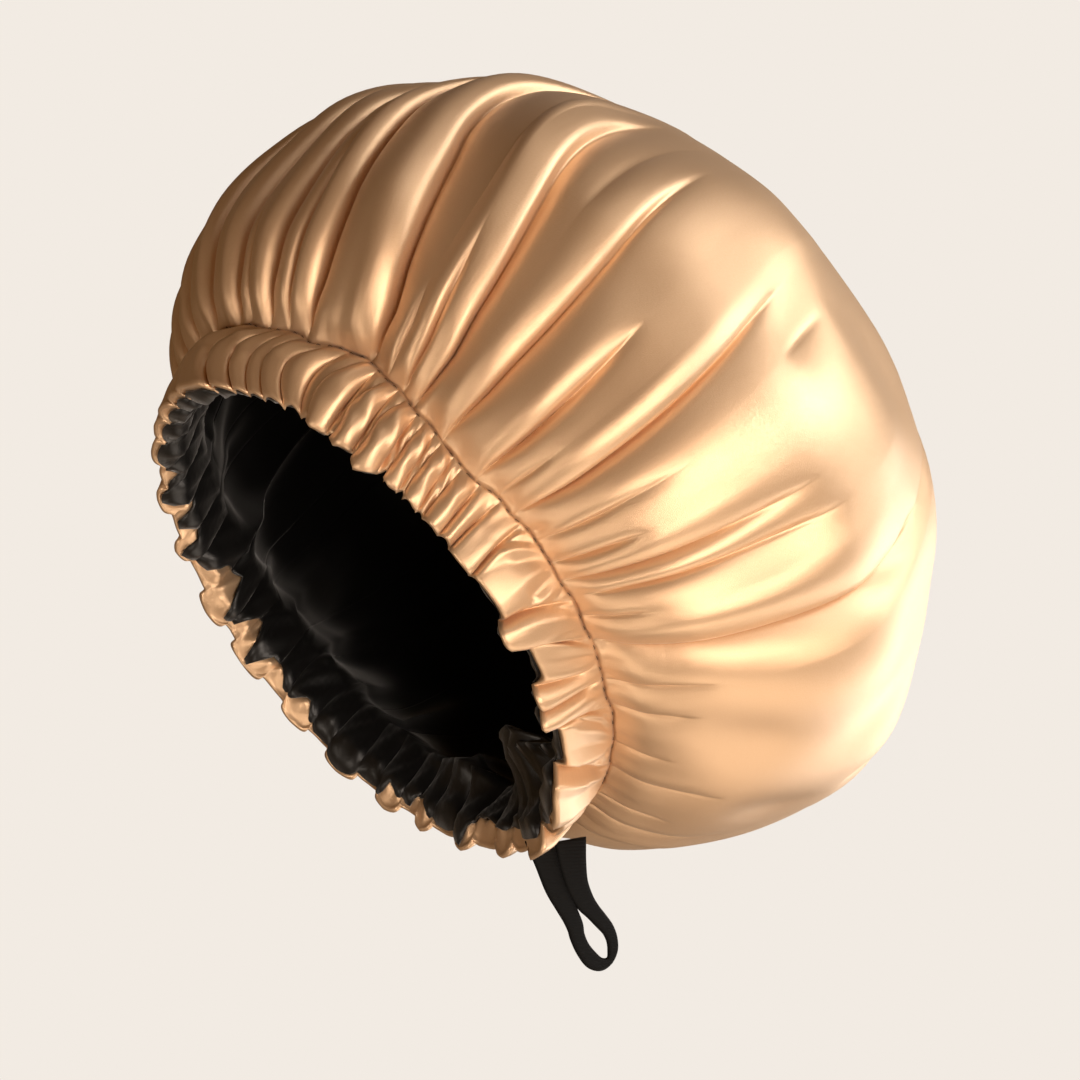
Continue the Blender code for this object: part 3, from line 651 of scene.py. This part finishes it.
def casing_points(along, layer):
    """The gathered columns at shares of the casing's width, and their angles. Layer 0 is the
    satin outside, 1 the hem turned under, 2 the lining."""
    v = np.clip(along, 0.0, 1.0)
    left, right = tuck_angle(cell_of, v), tuck_angle(cell_of + 1, v)
    wide = right - left
    high, drop, overhang = (tucks[cell_of, k] for k in (3, 4, 5))
    middle = left + wide / 2
    folded, knotted = on_side(middle, FOLDED_SIDE), on_side(middle, KNOTTED_SIDE)
    across = np.minimum(phase_of, 1 - phase_of) * wide * 1.7
    puff = 1 - np.exp(-(across / (PAD_SHOULDER + (FOLD_SHOULDER - PAD_SHOULDER) * folded)) ** 1.4)
    plump = np.sin(np.minimum((1 - v) / 0.62, 1.0) * np.pi / 2) ** 0.9
    pinch = plump + (1 - v ** 1.5 - plump) * folded
    flare = 1.0 - 0.34 * (1 - v) ** 2.2 * (1 - folded)
    ripples = np.maximum(1, np.round(wide / PLEAT_WIDTH))
    sway = 0.37 * cell_of + (0.9 if layer else 0.25) * v
    pleat = PLEAT * np.sin(2 * np.pi * (phase_of * ripples + sway)) * (0.25 + v) * pinch * (1 - folded)
    fan = (phase_of - 0.5) / (1.0 - 0.72 * v)
    ridge = np.arcsin(np.sin(2 * np.pi * (fan * 0.45 * ripples + 0.31 * cell_of))) * 2 / np.pi
    pleat = pleat + FAN * ridge * (1 - v ** 3) * (0.35 + 0.65 * v) * folded
    pleat = pleat + KNOT * np.sin(2 * np.pi * (1.5 * phase_of + 1.9 * v + 0.43 * cell_of)) * plump * knotted
    out = high * puff * pinch * flare + pleat * puff
    if layer:
        at_hem, at_elastic, bulge = INNER_LAYERS[layer]
        inside = smooth_step(v / 0.24)
        crumple = CRUMPLE * np.sin(2 * np.pi * (phase_of * 2 + 1.7 * v + 0.3 * cell_of)) * puff
        lobe = puff * np.sin(np.pi * np.clip(0.25 + 0.6 * v, 0, 1)) * bulge
        out = out * (1 - inside) - at_hem * (1 - inside) - (at_elastic + CRUMPLE + lobe + crumple) * inside
    lean = 0.5 if layer else 1.0
    turn = -overhang * wide * np.sin(2 * np.pi * phase_of) * (0.25 + 0.75 * pinch) * lean
    turn = turn + 0.22 * wide * np.sin(2 * np.pi * (1.3 * v + 0.41 * cell_of)) * knotted * plump * puff
    angle = left + wide * phase_of + turn
    height = CASING_WIDTH * v - drop / 1000 * puff * (1 - v) ** 1.4 + waver(angle) * v ** 2
    return at_ring(angle, neck_radius(CASING_WIDTH * v) + out / 1000, height), angle


under = np.array(TURN_UNDER, float)
mean_angle = casing_points(np.zeros(len(cell_of)), 0)[1]
turn_under = np.interp(mean_angle, under[:, 0], under[:, 1], period=360.0) / 1000 / CASING_WIDTH
rows, ways = [], []
for part in np.linspace(1.0, 0.0, UNDER_ROWS):
    rows.append(casing_points(turn_under * part, 1)[0])
    ways.append(-turn_under * part)
for part in np.linspace(0.0, 1.0, CASING_ROWS):
    rows.append(casing_points(np.full(len(cell_of), part), 0)[0])
    ways.append(np.full(len(cell_of), part))
flat = np.stack([np.radians(np.broadcast_to(mean_angle, (len(rows), len(cell_of)))) * CLOTH_ROUND,
                 np.array(ways) * CASING_WIDTH], -1)
casing = ring_sheet("casing_satin", np.array(rows), flat)
casing.data.materials.append(gold_satin)
thicken(casing, SATIN)
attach(casing, "root")
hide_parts("casing_ruffle")

# Topstitching
# Dark thread that gathers the satin to the casing, in a line of short stitches round the
# crown's foot. Each is a short arch of thread whose ends go into the cloth.

STITCH_PITCH = 0.0044
STITCH_LENGTH = 0.0019
THREAD_RADIUS = 0.00015
THREAD_ENDS = 0.55                  # radius at a stitch's ends, as a share of its middle's
THREAD_SINK = 0.0001                # how deep a stitch's ends lie in the cloth
THREAD_RISE = 0.0004                # how far its middle stands over the cloth
THREAD_SIDES = 6
STITCH_LINE = 0.985                 # share of the casing's width at which the stitches run
STITCH_HIDDEN = 1.1                 # lower hides more of the stitches in the gathers

seam = casing_points(np.full(len(cell_of), STITCH_LINE), 0)[0]
seam_closed = np.vstack([seam, seam[:1]])
seam_way = np.r_[0.0, np.cumsum(np.linalg.norm(np.diff(seam_closed, axis=0), axis=1))]
seam_centre = seam.mean(axis=0)
stitch_count = int(seam_way[-1] / STITCH_PITCH)
verts, faces = [], []
for k in range(stitch_count):
    if np.sin(2.4 * k) + np.sin(0.37 * k + 1.0) > STITCH_HIDDEN:
        continue
    start = seam_way[-1] * k / stitch_count
    ends = [np.array([np.interp(start + step, seam_way, seam_closed[:, axis]) for axis in range(3)])
            for step in (0.0, STITCH_LENGTH / 2, STITCH_LENGTH)]
    away = ends[1] - seam_centre
    away /= np.linalg.norm(away)
    ends = [end + away * lift for end, lift in zip(ends, (-THREAD_SINK, THREAD_RISE, -THREAD_SINK))]
    along_thread = (ends[2] - ends[0]) / np.linalg.norm(ends[2] - ends[0])
    beside = np.cross(along_thread, away)
    first = len(verts)
    for end, share in zip(ends, (THREAD_ENDS, 1.0, THREAD_ENDS)):
        for a in np.radians(np.arange(0, 360, 360 // THREAD_SIDES)):
            verts.append(end + THREAD_RADIUS * share * (np.cos(a) * beside + np.sin(a) * away))
    for ring in range(2):
        for side in range(THREAD_SIDES):
            a = first + ring * THREAD_SIDES + side
            b = first + ring * THREAD_SIDES + (side + 1) % THREAD_SIDES
            faces.append((a, b, b + THREAD_SIDES, a + THREAD_SIDES))
    faces.append(tuple(range(first + THREAD_SIDES - 1, first - 1, -1)))
    faces.append(tuple(range(first + 2 * THREAD_SIDES, first + 3 * THREAD_SIDES)))
topstitching = new_piece("topstitching", [tuple(v) for v in verts], faces)
thread = bpy.data.materials.new("brown_thread")
thread.use_nodes = True
thread.node_tree.nodes["Principled BSDF"].inputs["Base Color"].default_value = (0.14, 0.075, 0.042, 1.0)
thread.node_tree.nodes["Principled BSDF"].inputs["Roughness"].default_value = 0.6
topstitching.data.materials.append(thread)
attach(topstitching, "root")

# Lining
# Black satin cut like the crown. It hangs inside it in soft folds, is gathered with the casing
# so that it bulges in between the tucks, and is sewn to the turned hem.

LINING_SLACK = 0.0052               # lining's mean distance inside the crown
LINING_DISC = 0.585                 # the disc that the lining is cut from
LINING_TUCKED = 0.06                # share of the casing's width that it starts below the turned edge
LINING_SOFTEN = 2.0                 # the crown's creases, rounded off this much
LINING_NECK_ROWS = 9                # rows behind the casing
LINING_SHARES = np.r_[np.linspace(0.03, 0.5, 38), np.linspace(0.53, 0.99, 12)]    # rings up the crown
BILLOW_START = -0.06                # share of the way up at which the folds begin
BILLOW_FULL = 0.11                  # shares on from there to their full rise

# Soft folds that hang into the hollow, or lie back from it where the rise is negative:
# angle, share of the way up, rise in mm, half length in mm, half width in mm, turn in degrees
BILLOWS = [
    (56, 0.04, 32.0, 30.0, 26.0, 0.0),
    (96, 0.03, 16.0, 22.0, 14.0, 0.0),
    (134, 0.05, 24.0, 32.0, 20.0, 8.0),
    (163, 0.08, 50.0, 44.0, 33.0, 0.0),
    (180, 0.10, -8.0, 30.0, 9.0, 14.0),
    (197, 0.08, 27.0, 38.0, 17.0, -8.0),
    (208, 0.09, 13.0, 30.0, 9.0, -10.0),
    (224, 0.09, 12.0, 30.0, 9.0, 18.0),
    (242, 0.06, 9.0, 24.0, 8.0, -14.0),
    (258, 0.12, 10.0, 34.0, 9.0, 10.0),
    (276, 0.06, 9.0, 24.0, 8.0, -8.0),
    (296, 0.10, 10.0, 28.0, 9.0, 12.0),
    (316, 0.06, 8.0, 22.0, 8.0, -8.0),
]

black_satin = satin("black_satin", colour=(0.004, 0.0037, 0.004), shade=(0.002, 0.002, 0.002),
                    roughness=0.36, relief=0.10, metallic=0.0, sheen=0.30)


def billow(points, angle, share):
    """Move points of the lining into the hollow where its folds hang."""
    radius = hermite(WAY, RADIUS, np.maximum(share, 0.0) * WAY[-1])
    lift = np.zeros(np.broadcast_shapes(angle.shape, share.shape))
    for place, up, rise, length, width, turn in BILLOWS:
        u, v = patch(angle, share, radius, place, up, length, width, turn)
        lift += rise / 1000 * np.exp(-(u ** 2 + v ** 2) ** 1.6)
    way_in = at_ring(0.0, 0.0, 0.0) - points
    way_in /= np.linalg.norm(way_in, axis=-1, keepdims=True)
    return points + way_in * (lift * smooth_step((share - BILLOW_START) / BILLOW_FULL))[..., None]


picked = slice(0, None, 2)          # every second column of the casing goes on into the lining
rows, ways = [], []
for part in np.linspace(0.0, 1.0, LINING_NECK_ROWS):
    along = turn_under - LINING_TUCKED + (1.0 - turn_under + LINING_TUCKED) * part
    points, angles = casing_points(along, 2)
    ways.append((along[picked] - 1.0) * CASING_WIDTH / WAY[-1])
    rows.append(billow(points[picked], angles[picked], ways[-1]))
for share in LINING_SHARES:
    ways.append(np.full(len(mean_angle[picked]), share))
    inside = crown_points(mean_angle[picked], ways[-1], LINING_SLACK, LINING_SOFTEN)
    rows.append(billow(inside, mean_angle[picked], ways[-1]))
flat = disc_uv((1.0 - np.array(ways)) * LINING_DISC / 2, mean_angle[picked])
lining = ring_sheet("lining_satin", np.array(rows), flat, at_ring(0.0, 0.0, DEPTH - LINING_SLACK))
lining.data.materials.append(black_satin)
thicken(lining, SATIN)
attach(lining, "root")
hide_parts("lining")

# Elastic
# A flat black woven tape that runs round inside the casing and draws it in. It is the plain ring
# of the frame, in the tape's own material, because the cloth hides all but its edge.


def woven_tape(name, colour, roughness):
    """Black elastic tape: fine ribs in the object's own coordinates, a soft dull finish."""
    material = bpy.data.materials.new(name)
    material.use_nodes = True
    nodes, links = material.node_tree.nodes, material.node_tree.links
    shader = nodes["Principled BSDF"]
    shader.inputs["Base Color"].default_value = (*colour, 1.0)
    shader.inputs["Roughness"].default_value = roughness
    shader.inputs["Specular IOR Level"].default_value = 0.12
    place = nodes.new("ShaderNodeTexCoord")
    ribs = nodes.new("ShaderNodeTexWave")
    ribs.wave_type = "BANDS"
    ribs.bands_direction = "Z"
    ribs.inputs["Scale"].default_value = 260.0
    ribs.inputs["Distortion"].default_value = 1.5
    links.new(place.outputs["Object"], ribs.inputs["Vector"])
    bump = nodes.new("ShaderNodeBump")
    bump.inputs["Strength"].default_value = 0.35
    bump.inputs["Distance"].default_value = 0.0003
    links.new(ribs.outputs["Fac"], bump.inputs["Height"])
    links.new(bump.outputs["Normal"], shader.inputs["Normal"])
    return material


elastic_tape = woven_tape("elastic_tape", (0.004, 0.004, 0.004), 0.7)
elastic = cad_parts["elastic_band"]
elastic.data.materials.clear()
elastic.data.materials.append(elastic_tape)

# Strap
# The same kind of tape folded in half: two strands lie side by side and part round an eye, so
# that the end is a loop. Its top is sewn under the casing at the nape.

STRAP_ANGLE = np.radians(162.0)     # place on the hem, from the forehead toward +X
STRAP_THICKNESS = 0.0022
STRAND_EDGE = 0.0009                # how far in a strand's rounded edge begins
STRAND_OFFSET = 0.0010              # one strand lies this far over the other
STRAND_FACE = [(-0.35, 0.93), (0.0, 1.0), (0.35, 0.93)]   # ribs: share of half width, of half thickness
STRAND_RINGS = 129                  # rings of points along the strand

# The strand's middle, down one side, round the eye and up the other:
# y and z in mm from the opening's centre, half width in mm
STRAND = [
    (55.3, -73.4, 5.75), (58.6, -82.0, 4.9), (61.9, -90.6, 4.3), (65.8, -97.0, 3.95), (68.4, -101.5, 3.55),
    (70.1, -105.0, 3.4), (71.0, -108.5, 3.1), (73.2, -112.8, 3.0), (76.6, -116.6, 3.1), (80.4, -118.3, 2.4),
    (83.9, -117.2, 1.6), (85.2, -113.8, 2.2), (84.9, -110.0, 2.4), (83.2, -106.4, 2.6), (80.2, -103.2, 2.9),
    (76.9, -99.9, 3.15), (73.4, -96.0, 3.95), (70.5, -90.4, 4.6), (68.7, -83.0, 5.6), (67.7, -75.0, 6.5),
]
strand = np.array(STRAND)
marks = np.arange(len(strand))
fine = np.linspace(0, len(strand) - 1, STRAND_RINGS)
path = np.stack([hermite(marks, strand[:, k], fine) for k in range(3)], -1) / 1000
ahead = np.gradient(path[:, :2], axis=0)
ahead /= np.linalg.norm(ahead, axis=1, keepdims=True)
across = np.stack([-ahead[:, 1], ahead[:, 0]], -1)
strap_x = HEM_DIAMETER / 2 * np.sin(STRAP_ANGLE)
verts, faces = [], []
for step, ((y, z, half), (ay, az)) in enumerate(zip(path, across)):
    aside = STRAND_OFFSET * (step / (len(path) - 1) - 0.5)
    front = [(-1.0 + STRAND_EDGE / half, 1.0), *STRAND_FACE, (1.0 - STRAND_EDGE / half, 1.0)]
    ring = [(-1.0, 0.0), *front, (1.0, 0.0), *((u, -v) for u, v in reversed(front))]
    for u, v in ring:
        verts.append((strap_x + aside + v * STRAP_THICKNESS / 2, y + u * half * ay, z + u * half * az))
sides = len(ring)
for k in range(len(path) - 1):
    for j in range(sides):
        a, b = k * sides + j, k * sides + (j + 1) % sides
        faces.append((a, a + sides, b + sides, b))
faces += [tuple(range(sides)), tuple(range(len(verts) - 1, len(verts) - 1 - sides, -1))]
strap = new_piece("strap_tape", verts, faces)
strap.data.materials.append(elastic_tape)
pick(strap)
bpy.ops.object.mode_set(mode="EDIT")
bpy.ops.mesh.select_all(action="SELECT")
bpy.ops.mesh.normals_make_consistent(inside=False)
bpy.ops.object.mode_set(mode="OBJECT")
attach(strap, "root")
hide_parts("strap_loop")
